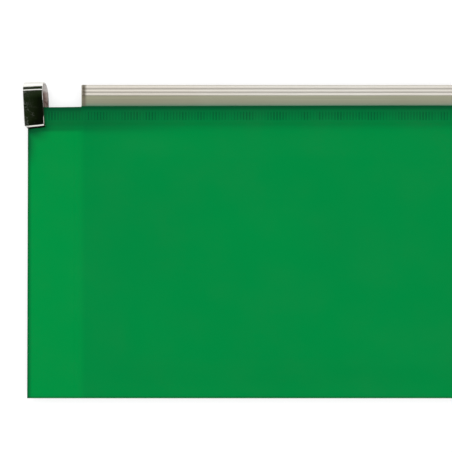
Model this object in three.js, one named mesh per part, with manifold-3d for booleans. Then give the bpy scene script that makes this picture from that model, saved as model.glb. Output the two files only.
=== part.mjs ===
// Zipper document folder: a film pocket, two interlocking tracks and a bent metal slider.
// Millimetres. X runs along the zip, Y from the bottom fold up to the zip, Z through the thickness, front up.
// While it is built, x = 0 is the left edge of the film and y = 0 is the bottom fold.
// An offset is a distance from the mid plane between the front and the back, positive outward on either side.
import * as THREE from "three";
import { mergeVertices } from "three/addons/utils/BufferGeometryUtils.js";
import Module from "manifold-3d";

// Film pocket
const FOLDER_WIDTH = 250;
const FILM_HEIGHT = 120.9;
const FILM_THICKNESS = 0.3;
const SEAM_THICKNESS = 0.4;
const EDGE_WELD_WIDTH = 1.0;
const INNER_WELD_WIDTH = 2.4;
const MARGIN_WIDTH = 21.7;
const SIDE_RISE = 26;
const BOTTOM_RISE = 18;
const TOP_RISE = 14;
const RISE_STEPS = 8;
const FOLD_STEPS = 10;

// Tracks
const CLOSED_GAP = 2.2;
const TRACK_WALL = 0.6;
const LIP_STANDOUT = 8.6;
const BEAD_HEIGHT = 6.6;
const TUCK_HEIGHT = 1.2;
const TUCK_DEPTH = 0.85;
const FLANGE_WALL = 0.4;
const FLANGE_HEIGHT = 1.4;
const INNER_SLOPE_LAG = 0.5;
const TRIM_OVERRUN = 0.6;
const TRIM_DEPTH = 0.9;
const CUT_OVERSHOOT = 1;
const END_STOP_LENGTH = 1.5;
const END_STOP_STANDOUT = 2.0;

// Gripping ribs on the outside of the lips
const RIB_COUNT = 3;
const RIB_PITCH = 1.5;
const RIB_HEIGHT = 0.9;
const RIB_STANDOUT = 0.25;
const RIB_EDGE = 0.45;

// Interlocking rib and groove
const LOCK_PLAY = 0.2;
const STEM_HEIGHT = 0.8;
const HEAD_HEIGHT = 1.5;
const HEAD_DEPTH = 0.45;
const HEAD_CLEARANCE = 0.35;
const ARM_WALL = 0.5;

// Ribbed weld of each film on its track
const WELD_THICKNESS = 0.15;
const TICK_PITCH = 1.25;
const TICK_WIDTH = 0.6;
const TICK_HEIGHT = 3.3;
const TICK_RISE = 0.6;
const TICK_SPINE = 0.4;
const TICK_END = 1.2;

// Slider
const SLIDER_WIDTH = 7.4;
const PLATE = 0.8;
const SLIDER_PLAY = 0.35;
const HOOK_PLAY = 0.44;
const HOOK_CLEARANCE = 0.3;
const HOOK_RADIUS = 1.0;
const BRIDGE_PLAY = 0.34;
const BRIDGE_HALF = 1.4;
const ARCH_HEIGHT = 3.4;
const ARCH_STEPS = 8;
const SLIDER_TILT = THREE.MathUtils.degToRad(4);
const STOP_PLAY = 0.3;
const DIVIDER_SIDE_PLAY = 0.35;
const DIVIDER_NOSE = 0.6;
const DIVIDER_NOSE_LENGTH = 1.0;
const DIVIDER_PLAY = 0.5;
const DIVIDER_SEAT = 0.3;

// Offsets from the mid plane
const WALL_IN = CLOSED_GAP / 2;
const WALL_OUT = WALL_IN + TRACK_WALL;
const FLANGE_OUT = WALL_OUT - TUCK_DEPTH;
const FLANGE_IN = FLANGE_OUT - FLANGE_WALL;
const BAND_OFFSET = WALL_OUT + WELD_THICKNESS;
const TUCK_OFFSET = FLANGE_OUT + WELD_THICKNESS;
const SEAM_OFFSET = SEAM_THICKNESS / 2;
const SLIDER_HALF = BAND_OFFSET + FILM_THICKNESS + SLIDER_PLAY + PLATE;
const POCKET_OFFSET = SLIDER_HALF - FILM_THICKNESS;
const MID_PLANE = SLIDER_HALF;

// Lengths along the zip
const TRIM_LENGTH = MARGIN_WIDTH + TRIM_OVERRUN;
const DIVIDER_LENGTH = SLIDER_WIDTH - 2 * (END_STOP_LENGTH + STOP_PLAY);

// Heights above the bottom fold
const FOLD_RADIUS = SEAM_OFFSET + FILM_THICKNESS;
const LIP_TOP = FILM_HEIGHT + LIP_STANDOUT;
const TRIM_LEVEL = FILM_HEIGHT - TRIM_DEPTH;
const BEAD_BOTTOM = FILM_HEIGHT - BEAD_HEIGHT;
const TUCK_TOP = BEAD_BOTTOM - TUCK_HEIGHT;
const FLANGE_BOTTOM = TUCK_TOP - FLANGE_HEIGHT;
const LOCK_LEVEL = (BEAD_BOTTOM + FILM_HEIGHT) / 2;
const TICK_BOTTOM = BEAD_BOTTOM + TICK_RISE;
const TICK_TOP = TICK_BOTTOM + TICK_HEIGHT;
const TILT_DROP = (SLIDER_WIDTH / 2) * Math.sin(SLIDER_TILT);
const SLIDER_BOTTOM = TUCK_TOP - HOOK_PLAY - TILT_DROP - PLATE;
const SLIDER_TOP = LIP_TOP + BRIDGE_PLAY + TILT_DROP + PLATE;
const POCKET_TOP = Math.min(SLIDER_BOTTOM, FLANGE_BOTTOM) - HOOK_PLAY - TILT_DROP;

const AXIS_X = new THREE.Vector3(1, 0, 0);
const AXIS_Y = new THREE.Vector3(0, 1, 0);
const AXIS_Z = new THREE.Vector3(0, 0, 1);

const wasm = await Module();
wasm.setup();

// Turns a closed geometry into a solid that can be cut and joined
function toSolid(geometry) {
  const bare = geometry.clone();
  bare.deleteAttribute("normal");
  bare.deleteAttribute("uv");
  const merged = mergeVertices(bare);
  return new wasm.Manifold(
    new wasm.Mesh({
      numProp: 3,
      vertProperties: new Float32Array(merged.attributes.position.array),
      triVerts: new Uint32Array(merged.index.array),
    }),
  );
}

// Turns a solid back into a geometry
function toGeometry(solid) {
  const mesh = solid.getMesh();
  const geometry = new THREE.BufferGeometry();
  geometry.setAttribute("position", new THREE.BufferAttribute(mesh.vertProperties, 3));
  geometry.setIndex(new THREE.BufferAttribute(mesh.triVerts, 1));
  geometry.computeVertexNormals();
  return geometry;
}

function toShape(points) {
  return new THREE.Shape(points.map(([across, up]) => new THREE.Vector2(across, up)));
}

// A prism along X from a section whose points are [y, z]
function prismAlongX(section, start, end) {
  const geometry = new THREE.ExtrudeGeometry(toShape(section), { depth: end - start, bevelEnabled: false });
  geometry.applyMatrix4(new THREE.Matrix4().makeBasis(AXIS_Y, AXIS_Z, AXIS_X));
  return geometry.translate(start, 0, 0);
}

// A prism along Z from an outline whose points are [x, y]
function prismAlongZ(outline, start, end) {
  const geometry = new THREE.ExtrudeGeometry(toShape(outline), { depth: end - start, bevelEnabled: false });
  return geometry.translate(0, 0, start);
}

// A prism hanging down along Y from an outline whose points are [x, z]
function prismAlongY(outline, top, bottom) {
  const geometry = new THREE.ExtrudeGeometry(toShape(outline), { depth: top - bottom, bevelEnabled: false });
  geometry.applyMatrix4(new THREE.Matrix4().makeBasis(AXIS_X, AXIS_Z, AXIS_Y.clone().negate()));
  return geometry.translate(0, top, 0);
}

function box(x0, x1, y0, y1, z0, z1) {
  const geometry = new THREE.BoxGeometry(x1 - x0, y1 - y0, z1 - z0);
  return geometry.translate((x0 + x1) / 2, (y0 + y1) / 2, (z0 + z1) / 2);
}

// Section points [y, offset] placed on the front (side 1) or the back (side -1)
function placed(section, side) {
  const points = section.map(([y, offset]) => [y, MID_PLANE + side * offset]);
  return side > 0 ? points : points.reverse();
}

function rectangle(y0, y1, offset0, offset1) {
  return [
    [y0, offset0],
    [y1, offset0],
    [y1, offset1],
    [y0, offset1],
  ];
}

function eased(t) {
  return THREE.MathUtils.smoothstep(t, 0, 1);
}

function steps(from, to, count) {
  return Array.from({ length: count + 1 }, (_, i) => THREE.MathUtils.lerp(from, to, i / count));
}

// Offset of the inner face of either film at a point of the panel
function filmOffset(x, y) {
  if (y >= BEAD_BOTTOM) return BAND_OFFSET;
  if (y >= TUCK_TOP) return THREE.MathUtils.mapLinear(y, TUCK_TOP, BEAD_BOTTOM, TUCK_OFFSET, BAND_OFFSET);
  const fromSide = Math.min(x, FOLDER_WIDTH - x);
  const side = eased((fromSide - MARGIN_WIDTH) / SIDE_RISE);
  const bottom = eased((y - FOLD_RADIUS) / BOTTOM_RISE);
  const pocket = THREE.MathUtils.lerp(SEAM_OFFSET, POCKET_OFFSET, side * bottom);
  return THREE.MathUtils.lerp(TUCK_OFFSET, pocket, eased((POCKET_TOP - y) / TOP_RISE));
}

function pocketStations() {
  return [
    ...steps(FOLD_RADIUS, FOLD_RADIUS + BOTTOM_RISE, RISE_STEPS),
    ...steps(POCKET_TOP - TOP_RISE, POCKET_TOP, RISE_STEPS),
  ];
}

function panelStations() {
  const left = steps(MARGIN_WIDTH, MARGIN_WIDTH + SIDE_RISE, RISE_STEPS);
  const right = left.map((x) => FOLDER_WIDTH - x).reverse();
  return {
    xs: [0, ...left, ...right, FOLDER_WIDTH],
    ys: [...pocketStations(), TUCK_TOP, BEAD_BOTTOM, FILM_HEIGHT],
  };
}

// Two triangles for each cell of a grid of corner numbers
function gridFaces(rows, columns, corner, flipped) {
  const faces = [];
  for (let i = 0; i < rows - 1; i += 1) {
    for (let j = 0; j < columns - 1; j += 1) {
      const [a, b, c, d] = [corner(i, j), corner(i + 1, j), corner(i + 1, j + 1), corner(i, j + 1)];
      faces.push(...(flipped ? [a, c, b, a, d, c] : [a, b, c, a, c, d]));
    }
  }
  return faces;
}

// One film panel: an outer and an inner skin over the same grid, closed by a rim
function panelGeometry(side) {
  const { xs, ys } = panelStations();
  const positions = [];
  for (const depth of [FILM_THICKNESS, 0]) {
    for (const x of xs) {
      for (const y of ys) {
        positions.push(x, y, MID_PLANE + side * (filmOffset(x, y) + depth));
      }
    }
  }
  const inner = xs.length * ys.length;
  const at = (i, j) => i * ys.length + j;
  const flipped = side < 0;
  const rim = [
    ...xs.map((_, i) => at(i, 0)),
    ...ys.slice(1).map((_, j) => at(xs.length - 1, j + 1)),
    ...xs.slice(1).map((_, i) => at(xs.length - 2 - i, ys.length - 1)),
    ...ys.slice(1).map((_, j) => at(0, ys.length - 2 - j)),
  ];
  const faces = [
    ...gridFaces(xs.length, ys.length, at, flipped),
    ...gridFaces(xs.length, ys.length, (i, j) => inner + at(i, j), !flipped),
    ...gridFaces(rim.length, 2, (i, j) => rim[i] + (j === 0 ? inner : 0), flipped),
  ];
  const geometry = new THREE.BufferGeometry();
  geometry.setAttribute("position", new THREE.Float32BufferAttribute(positions, 3));
  geometry.setIndex(faces);
  return toGeometry(withTrimmedEnds(toSolid(geometry)));
}

// The die cut at each end of the zip, through the lips and a little into the film
function withTrimmedEnds(solid) {
  const reach = [TRIM_LEVEL, LIP_TOP + CUT_OVERSHOOT, -CUT_OVERSHOOT, 2 * MID_PLANE + CUT_OVERSHOOT];
  const left = box(-CUT_OVERSHOOT, TRIM_LENGTH, ...reach);
  const right = box(FOLDER_WIDTH - TRIM_LENGTH, FOLDER_WIDTH + CUT_OVERSHOOT, ...reach);
  return solid.subtract(toSolid(left)).subtract(toSolid(right));
}

// The film turned round the bottom edge of the folder
function bottomFoldGeometry() {
  const arc = (radius) =>
    steps(Math.PI / 2, (3 * Math.PI) / 2, FOLD_STEPS).map((angle) => [
      FOLD_RADIUS + radius * Math.cos(angle),
      MID_PLANE + radius * Math.sin(angle),
    ]);
  const section = [...arc(FOLD_RADIUS), ...arc(SEAM_OFFSET).reverse()];
  return prismAlongX(section, 0, FOLDER_WIDTH);
}

// A strip of fused film between the two panels, from the fold up to the flanges of the tracks
function sideWeldGeometry(start, width) {
  const front = pocketStations().map((y) => [y, MID_PLANE + filmOffset(0, y)]);
  const back = pocketStations().map((y) => [y, MID_PLANE - filmOffset(0, y)]);
  return prismAlongX([...back, ...front.reverse()], start, start + width);
}

// Wall of a track: lip above, bead behind the film, thin flange below
function trackWallSection() {
  return [
    [FLANGE_BOTTOM, FLANGE_IN],
    [TUCK_TOP + INNER_SLOPE_LAG, FLANGE_IN],
    [BEAD_BOTTOM + INNER_SLOPE_LAG, WALL_IN],
    [LIP_TOP, WALL_IN],
    [LIP_TOP, WALL_OUT],
    [BEAD_BOTTOM, WALL_OUT],
    [TUCK_TOP, FLANGE_OUT],
    [FLANGE_BOTTOM, FLANGE_OUT],
  ];
}

// Gripping ribs, rooted half way into the lip
function gripRibs(side) {
  const root = WALL_OUT - TRACK_WALL / 2;
  return Array.from({ length: RIB_COUNT }, (_, i) => {
    const top = LIP_TOP - RIB_EDGE - i * RIB_PITCH;
    return prismAlongX(
      placed(rectangle(top - RIB_HEIGHT, top, root, WALL_OUT + RIB_STANDOUT), side),
      0,
      FOLDER_WIDTH,
    );
  });
}

// Offset, on the front track's side, of the face of the head that the groove's hooks hold
function headBack() {
  return -(WALL_IN - HEAD_CLEARANCE) + HEAD_DEPTH;
}

// The front track's rib: a stem with a wider head
function lockingRib() {
  const root = WALL_IN + TRACK_WALL / 2;
  const tip = headBack() - HEAD_DEPTH;
  const span = (half) => [LOCK_LEVEL - half, LOCK_LEVEL + half];
  return [
    rectangle(...span(STEM_HEIGHT / 2), headBack() - HEAD_DEPTH / 2, root),
    rectangle(...span(HEAD_HEIGHT / 2), tip, headBack()),
  ];
}

// The back track's groove: two arms with hooks that reach behind the head
function lockingGroove() {
  const root = WALL_IN + TRACK_WALL / 2;
  const hookNear = -(headBack() + LOCK_PLAY);
  const hookFar = hookNear - HEAD_DEPTH;
  const armIn = HEAD_HEIGHT / 2 + HEAD_CLEARANCE;
  const armOut = armIn + ARM_WALL;
  const hookIn = STEM_HEIGHT / 2 + LOCK_PLAY;
  return [-1, 1].flatMap((way) => {
    const span = (a, b) => [LOCK_LEVEL + way * a, LOCK_LEVEL + way * b].sort((p, q) => p - q);
    return [
      rectangle(...span(armIn, armOut), hookFar, root),
      rectangle(...span(hookIn, armOut), hookFar, hookNear),
    ];
  });
}

// One track: wall, gripping ribs and its half of the lock, which ends at the end stops
function trackGeometry(side, lock) {
  const wall = prismAlongX(placed(trackWallSection(), side), 0, FOLDER_WIDTH);
  const locks = lock.map((section) =>
    prismAlongX(placed(section, side), END_STOP_LENGTH, FOLDER_WIDTH - END_STOP_LENGTH),
  );
  let track = toSolid(wall);
  for (const piece of [...gripRibs(side), ...locks]) track = track.add(toSolid(piece));
  return toGeometry(withTrimmedEnds(track));
}

// The tracks fused to each other, standing out above the trimmed edge as a stop for the slider
function endStopGeometry(start) {
  return box(
    start,
    start + END_STOP_LENGTH,
    BEAD_BOTTOM + INNER_SLOPE_LAG,
    TRIM_LEVEL + END_STOP_STANDOUT,
    MID_PLANE - WALL_IN,
    MID_PLANE + WALL_IN,
  );
}

// Ribbed weld: a comb of short upright ticks on a narrow spine
function trackWeldGeometry(side) {
  const count = Math.floor((FOLDER_WIDTH - 2 * TICK_END - TICK_WIDTH) / TICK_PITCH) + 1;
  const first = (FOLDER_WIDTH - (count - 1) * TICK_PITCH - TICK_WIDTH) / 2;
  const outline = [];
  for (let i = 0; i < count; i += 1) {
    const x = first + i * TICK_PITCH;
    outline.push([x, TICK_TOP], [x, TICK_BOTTOM]);
    outline.push([x + TICK_WIDTH, TICK_BOTTOM], [x + TICK_WIDTH, TICK_TOP]);
  }
  outline.push([FOLDER_WIDTH - first, TICK_TOP + TICK_SPINE], [first, TICK_TOP + TICK_SPINE]);
  const faces = [MID_PLANE + side * WALL_OUT, MID_PLANE + side * BAND_OFFSET];
  return prismAlongZ(outline, Math.min(...faces), Math.max(...faces));
}

// Quarter of an ellipse about a centre, from its side (angle 0) to its top, as [height, offset]
function quarter(height, offset, tall, wide, count) {
  return steps(0, Math.PI / 2, count).map((angle) => [
    height + tall * Math.sin(angle),
    offset + wide * Math.cos(angle),
  ]);
}

// Slider: one strip bent over the lips, with its lower edges turned in under the bead
function sliderSection() {
  const hookTip = TUCK_OFFSET + FILM_THICKNESS + HOOK_CLEARANCE;
  const shoulder = SLIDER_TOP - ARCH_HEIGHT;
  const bend = SLIDER_HALF - HOOK_RADIUS;
  const outside = [
    [SLIDER_BOTTOM, hookTip],
    ...quarter(SLIDER_BOTTOM + HOOK_RADIUS, bend, -HOOK_RADIUS, HOOK_RADIUS, ARCH_STEPS / 2).reverse(),
    ...quarter(shoulder, BRIDGE_HALF, ARCH_HEIGHT, SLIDER_HALF - BRIDGE_HALF, ARCH_STEPS),
  ];
  const inside = [
    [SLIDER_BOTTOM + PLATE, hookTip],
    [SLIDER_BOTTOM + PLATE, SLIDER_HALF - PLATE],
    ...quarter(shoulder, BRIDGE_HALF, ARCH_HEIGHT - PLATE, SLIDER_HALF - PLATE - BRIDGE_HALF, ARCH_STEPS),
  ];
  const mirrored = (points) => points.map(([y, offset]) => [y, -offset]);
  return [...outside, ...mirrored(outside).reverse(), ...mirrored(inside), ...inside.slice().reverse()];
}

// Tongue between the lips, pointed at both ends, seated under the bridge
function dividerGeometry() {
  const end = DIVIDER_LENGTH / 2;
  const full = end - DIVIDER_NOSE_LENGTH;
  const [nose, half] = [DIVIDER_NOSE / 2, WALL_IN - DIVIDER_SIDE_PLAY];
  const outline = [
    [-end, -nose],
    [-full, -half],
    [full, -half],
    [end, -nose],
    [end, nose],
    [full, half],
    [-full, half],
    [-end, nose],
  ];
  return prismAlongY(outline, SLIDER_TOP - PLATE - DIVIDER_SEAT, TRIM_LEVEL + DIVIDER_PLAY);
}

function mesh(name, geometry, { color, roughness, metalness = 0, opacity = 1 }) {
  const material = new THREE.MeshStandardMaterial({ color, roughness, metalness });
  material.opacity = opacity;
  material.transparent = opacity < 1;
  const made = new THREE.Mesh(geometry, material);
  made.name = name;
  return made;
}

const FILM_LOOK = { color: "#008941", roughness: 0.3, opacity: 0.85 };
const WELD_LOOK = { color: "#017a3c", roughness: 0.4, opacity: 0.9 };
const TRACK_LOOK = { color: "#dcd8cb", roughness: 0.35 };
const STEEL_LOOK = { color: "#8c8c8a", roughness: 0.12, metalness: 1 };

function makePocket() {
  const pocket = new THREE.Group();
  const innerStart = MARGIN_WIDTH - INNER_WELD_WIDTH;
  pocket.add(
    mesh("front_panel", panelGeometry(1), FILM_LOOK),
    mesh("back_panel", panelGeometry(-1), FILM_LOOK),
    mesh("bottom_fold", bottomFoldGeometry(), FILM_LOOK),
    mesh("left_edge_weld", sideWeldGeometry(0, EDGE_WELD_WIDTH), WELD_LOOK),
    mesh("right_edge_weld", sideWeldGeometry(FOLDER_WIDTH - EDGE_WELD_WIDTH, EDGE_WELD_WIDTH), WELD_LOOK),
    mesh("left_inner_weld", sideWeldGeometry(innerStart, INNER_WELD_WIDTH), WELD_LOOK),
    mesh("right_inner_weld", sideWeldGeometry(FOLDER_WIDTH - MARGIN_WIDTH, INNER_WELD_WIDTH), WELD_LOOK),
  );
  return pocket;
}

function makeZip() {
  const zip = new THREE.Group();
  zip.add(
    mesh("front_track", trackGeometry(1, lockingRib()), TRACK_LOOK),
    mesh("back_track", trackGeometry(-1, lockingGroove()), TRACK_LOOK),
    mesh("front_track_weld", trackWeldGeometry(1), WELD_LOOK),
    mesh("back_track_weld", trackWeldGeometry(-1), WELD_LOOK),
    mesh("left_end_stop", endStopGeometry(0), TRACK_LOOK),
    mesh("right_end_stop", endStopGeometry(FOLDER_WIDTH - END_STOP_LENGTH), TRACK_LOOK),
  );
  return zip;
}

// The slider stands parked at the left end, flush with the film's edge and tilted within its play
function makeSlider() {
  const centre = (SLIDER_BOTTOM + SLIDER_TOP) / 2;
  const half = SLIDER_WIDTH / 2;
  const shell = prismAlongX(sliderSection(), -half, half).translate(0, -centre, 0);
  const divider = dividerGeometry().translate(0, -centre, 0);
  const slider = new THREE.Group();
  slider.add(mesh("slider_shell", shell, STEEL_LOOK), mesh("slider_divider", divider, STEEL_LOOK));
  slider.rotation.z = SLIDER_TILT;
  slider.position.set(half, centre, MID_PLANE);
  return slider;
}

// The whole folder, moved so that the middle of its underside is the origin
function makeFolder() {
  const folder = new THREE.Group();
  folder.add(makePocket(), makeZip(), makeSlider());
  folder.updateMatrixWorld(true);
  const bounds = new THREE.Box3().setFromObject(folder, true);
  const centre = bounds.getCenter(new THREE.Vector3());
  folder.position.set(-centre.x, -centre.y, -bounds.min.z);
  return folder;
}

export default makeFolder();
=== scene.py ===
"""Zipper document folder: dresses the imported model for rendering.

The classes hold their sizes in millimetres in the frame the part was drawn in: x from the
film's left edge, y from the bottom fold, and offsets from the mid plane between the front
and the back, positive outward. `Sheet.at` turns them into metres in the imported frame.
"""

import logging
import math
from collections.abc import Sequence
from dataclasses import dataclass, field
from enum import Enum
from typing import Any

import bmesh
import bpy
import numpy as np
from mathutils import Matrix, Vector


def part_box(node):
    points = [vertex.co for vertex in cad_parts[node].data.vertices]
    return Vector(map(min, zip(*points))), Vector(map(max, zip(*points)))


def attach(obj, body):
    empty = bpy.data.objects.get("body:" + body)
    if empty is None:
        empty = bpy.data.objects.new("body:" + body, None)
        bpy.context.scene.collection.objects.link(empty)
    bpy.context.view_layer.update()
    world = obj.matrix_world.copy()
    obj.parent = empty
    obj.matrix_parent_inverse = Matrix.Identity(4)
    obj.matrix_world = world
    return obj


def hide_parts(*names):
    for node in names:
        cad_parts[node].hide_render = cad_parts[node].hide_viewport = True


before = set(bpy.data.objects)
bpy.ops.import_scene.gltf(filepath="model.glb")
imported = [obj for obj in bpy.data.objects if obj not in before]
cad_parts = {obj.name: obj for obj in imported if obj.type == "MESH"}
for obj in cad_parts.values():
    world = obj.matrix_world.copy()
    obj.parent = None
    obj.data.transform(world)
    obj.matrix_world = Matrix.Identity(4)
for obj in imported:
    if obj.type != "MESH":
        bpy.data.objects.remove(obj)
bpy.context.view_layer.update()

MM = 0.001
# A sine to this power swells into a half round that is fuller than a circle
FULL = 0.6
LOG = logging.getLogger("document_folder")

Point = tuple[float, float]
Place = tuple[float, float, float]
Tree = bpy.types.NodeTree
Socket = bpy.types.NodeSocket
Material = bpy.types.Material
Object = bpy.types.Object

MATH = "ShaderNodeMath"
RANGE = "ShaderNodeMapRange"
MIX = "ShaderNodeMix"
NOISE = "ShaderNodeTexNoise"
COLOURS = {"output": 2, "data_type": "RGBA"}
WHITE = (1.0, 1.0, 1.0, 1.0)


class Side(Enum):
    """Which half of the folder a piece belongs to."""

    FRONT = 1
    BACK = -1


class Body(Enum):
    """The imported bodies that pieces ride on."""

    FOLDER = "folder"
    SLIDER = "slider"


class Slot(Enum):
    """The record's material slots."""

    FILM = "film"
    WELD = "weld"
    TRACK = "track"
    STEEL = "steel"


def linear(code: str) -> tuple[float, float, float, float]:
    """Turns an sRGB hex colour into the linear colour that a shader reads.

    Args:
        code: The colour as "#rrggbb".

    Returns:
        Red, green, blue and an alpha of 1.
    """
    parts = [int(code[i : i + 2], 16) / 255 for i in (1, 3, 5)]
    red, green, blue = (p / 12.92 if p <= 0.04045 else ((p + 0.055) / 1.055) ** 2.4 for p in parts)
    return red, green, blue, 1.0


def wire(
    tree: Tree,
    kind: str,
    inputs: dict[int | str, Any] | None = None,
    output: int | str = 0,
    stops: Sequence[tuple[float, Any]] = (),
    **settings: Any,
) -> Socket:
    """Adds one node with its settings, values and links.

    Args:
        tree: The tree that gets the node.
        kind: The node's Blender type.
        inputs: A value, hex colour or socket for each input, by name or number.
        output: The output to hand back, by name or number.
        stops: The positions and colours of a colour ramp.
        **settings: Properties of the node.

    Returns:
        The chosen output socket, or the node's first input if it has no outputs.
    """
    made = tree.nodes.new(kind)
    for name, value in settings.items():
        setattr(made, name, value)
    for key, value in (inputs or {}).items():
        if isinstance(value, Socket):
            tree.links.new(value, made.inputs[key])
        else:
            made.inputs[key].default_value = linear(value) if isinstance(value, str) else value
    if stops:
        elements = made.color_ramp.elements
        while len(elements) < len(stops):
            elements.new(1.0)
        for element, (position, colour) in zip(elements, stops):
            element.position = position
            element.color = linear(colour) if isinstance(colour, str) else colour
    return made.outputs[output] if made.outputs else made.inputs[0]


def span(value: Socket, start: float, end: float, low: float = 0.0, high: float = 1.0) -> dict[int | str, Any]:
    """Inputs of a node that maps start and end to low and high."""
    return {"Value": value, 1: start, 2: end, 3: low, 4: high}


def eased(t: float) -> float:
    """Eases a share from 0 to 1 with level ends."""
    t = min(max(t, 0.0), 1.0)
    return t * t * (3 - 2 * t)


def lerp(a: float, b: float, t: float) -> float:
    """Blends two numbers."""
    return a + (b - a) * t


def spread(start: float, end: float, count: int) -> list[float]:
    """Gives count + 1 evenly spaced numbers from start to end."""
    return [lerp(start, end, i / count) for i in range(count + 1)]


def rounded(points: Sequence[Point], radius: float, count: int = 4) -> list[Point]:
    """Rounds each corner of a closed outline.

    Args:
        points: The outline's corners.
        radius: How far along its edges a corner is rounded, where they are long enough.
        count: How many edges replace a corner.

    Returns:
        The rounded outline.
    """
    made: list[Point] = []
    for i, corner in enumerate(points):
        here = np.array(corner)
        ends = []
        for other in (points[i - 1], points[(i + 1) % len(points)]):
            run = np.array(other) - here
            length = float(np.hypot(*run))
            ends.append(here + run / length * min(radius, 0.45 * length))
        for t in spread(0, 1, count):
            spot = (1 - t) ** 2 * ends[0] + 2 * t * (1 - t) * here + t * t * ends[1]
            made.append((float(spot[0]), float(spot[1])))
    return made


def fresh(name: str) -> tuple[Material, Tree]:
    """Starts a material, and empties its tree."""
    made = bpy.data.materials.new(name)
    made.use_nodes = True
    made.node_tree.nodes.clear()
    return made, made.node_tree


def stood(name: str, data: bpy.types.ID) -> Object:
    """Puts a new object in the scene, at the origin."""
    made = bpy.data.objects.new(name, data)
    bpy.context.scene.collection.objects.link(made)
    return made


def settled(name: str, mesh: bpy.types.Mesh, crease: float) -> Object:
    """Closes a mesh, turns its faces outward and puts it in the scene.

    Args:
        name: The piece's name.
        mesh: The mesh.
        crease: Edges that turn by more than this many degrees stay sharp.

    Returns:
        The new object, smooth between its sharp edges.
    """
    shell = bmesh.new()
    shell.from_mesh(mesh)
    bmesh.ops.remove_doubles(shell, verts=shell.verts, dist=1e-7)
    bmesh.ops.recalc_face_normals(shell, faces=shell.faces)
    shell.to_mesh(mesh)
    shell.free()
    mesh.name = name
    mesh.shade_smooth()
    mesh.set_sharp_from_angle(angle=math.radians(crease))
    return stood(name, mesh)


def solid(
    name: str, corners: Sequence[Sequence[float]], faces: Sequence[Sequence[int]], crease: float = 35.0
) -> Object:
    """Makes a closed solid.

    Args:
        name: The piece's name.
        corners: Corner places in metres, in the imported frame.
        faces: Corner numbers of each face.
        crease: Edges that turn by more than this many degrees stay sharp.

    Returns:
        The new object.
    """
    mesh = bpy.data.meshes.new(name)
    mesh.from_pydata([tuple(c) for c in corners], [], [tuple(f) for f in faces])
    return settled(name, mesh, crease)


def lofted(rings: Sequence[Sequence[Sequence[float]]]) -> tuple[list[Sequence[float]], list[list[int]]]:
    """Joins rings of equal count into a capped loft.

    Args:
        rings: The rings' corners, in order along the loft.

    Returns:
        The corners and the faces.
    """
    count = len(rings[0])
    corners = [corner for ring in rings for corner in ring]
    faces = [
        [r * count + i, r * count + (i + 1) % count, (r + 1) * count + (i + 1) % count, (r + 1) * count + i]
        for r in range(len(rings) - 1)
        for i in range(count)
    ]
    last = (len(rings) - 1) * count
    faces += [list(range(count))[::-1], [last + i for i in range(count)]]
    return corners, faces


def tag(piece: Object, name: str, values: Sequence[float]) -> None:
    """Stores one number for each corner of a piece, in their order, for its material to read."""
    piece.data.attributes.new(name, "FLOAT", "POINT").data.foreach_set("value", values)


def dress(piece: Object, finish: Material, body: Body, slot: Slot, *nodes: str) -> Object:
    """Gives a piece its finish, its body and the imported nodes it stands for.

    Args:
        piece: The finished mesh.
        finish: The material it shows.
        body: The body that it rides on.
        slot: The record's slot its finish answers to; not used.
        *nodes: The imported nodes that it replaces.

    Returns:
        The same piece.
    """
    piece.data.materials.clear()
    piece.data.materials.append(finish)
    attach(piece, body.value)
    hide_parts(*nodes)
    LOG.info("%s: %d faces on %s", piece.name, len(piece.data.polygons), body.value)
    return piece


def growing_tree(name: str, inputs: dict[str, Sequence[str]]) -> tuple[Tree, Socket]:
    """Starts a Geometry Nodes tree whose named inputs begin with a geometry and end with a finish.

    Args:
        name: The tree's name.
        inputs: The names of the inputs between those two, by the kind of their sockets.

    Returns:
        The tree and its incoming geometry, whose node gives the other inputs.
    """
    tree = bpy.data.node_groups.new(name, "GeometryNodeTree")
    tree.interface.new_socket("Geometry", in_out="OUTPUT", socket_type="NodeSocketGeometry")
    for kind, labels in {"Geometry": ("Geometry",), **inputs, "Material": ("Finish",)}.items():
        for label in labels:
            tree.interface.new_socket(label, in_out="INPUT", socket_type=f"NodeSocket{kind}")
    return tree, wire(tree, "NodeGroupInput")


def grown(base: Object, tree: Tree, shape: Socket, values: dict[str, Any]) -> Object:
    """Ends a Geometry Nodes tree, runs it on an object and keeps the result as a plain mesh.

    Args:
        base: The object that the tree starts from, which is used up.
        tree: The tree.
        shape: What the tree has grown.
        values: The tree's inputs by name, with the material as "Finish".

    Returns:
        A plain object with the base's name.
    """
    entry = next(node for node in tree.nodes if node.bl_idname == "NodeGroupInput")
    real = wire(tree, "GeometryNodeRealizeInstances", {0: shape})
    given = {"Geometry": real, "Material": entry.outputs["Finish"]}
    wire(tree, "NodeGroupOutput", {0: wire(tree, "GeometryNodeSetMaterial", given)})
    name = base.name
    grower = base.modifiers.new("grow", "NODES")
    grower.node_group = tree
    for item in tree.interface.items_tree:
        if item.item_type == "SOCKET" and item.in_out == "INPUT" and item.name in values:
            grower[item.identifier] = values[item.name]
    result = base.evaluated_get(bpy.context.evaluated_depsgraph_get())
    mesh = bpy.data.meshes.new_from_object(result)
    base.modifiers.remove(grower)
    bpy.data.objects.remove(base)
    return settled(name, mesh, 35.0)


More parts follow.
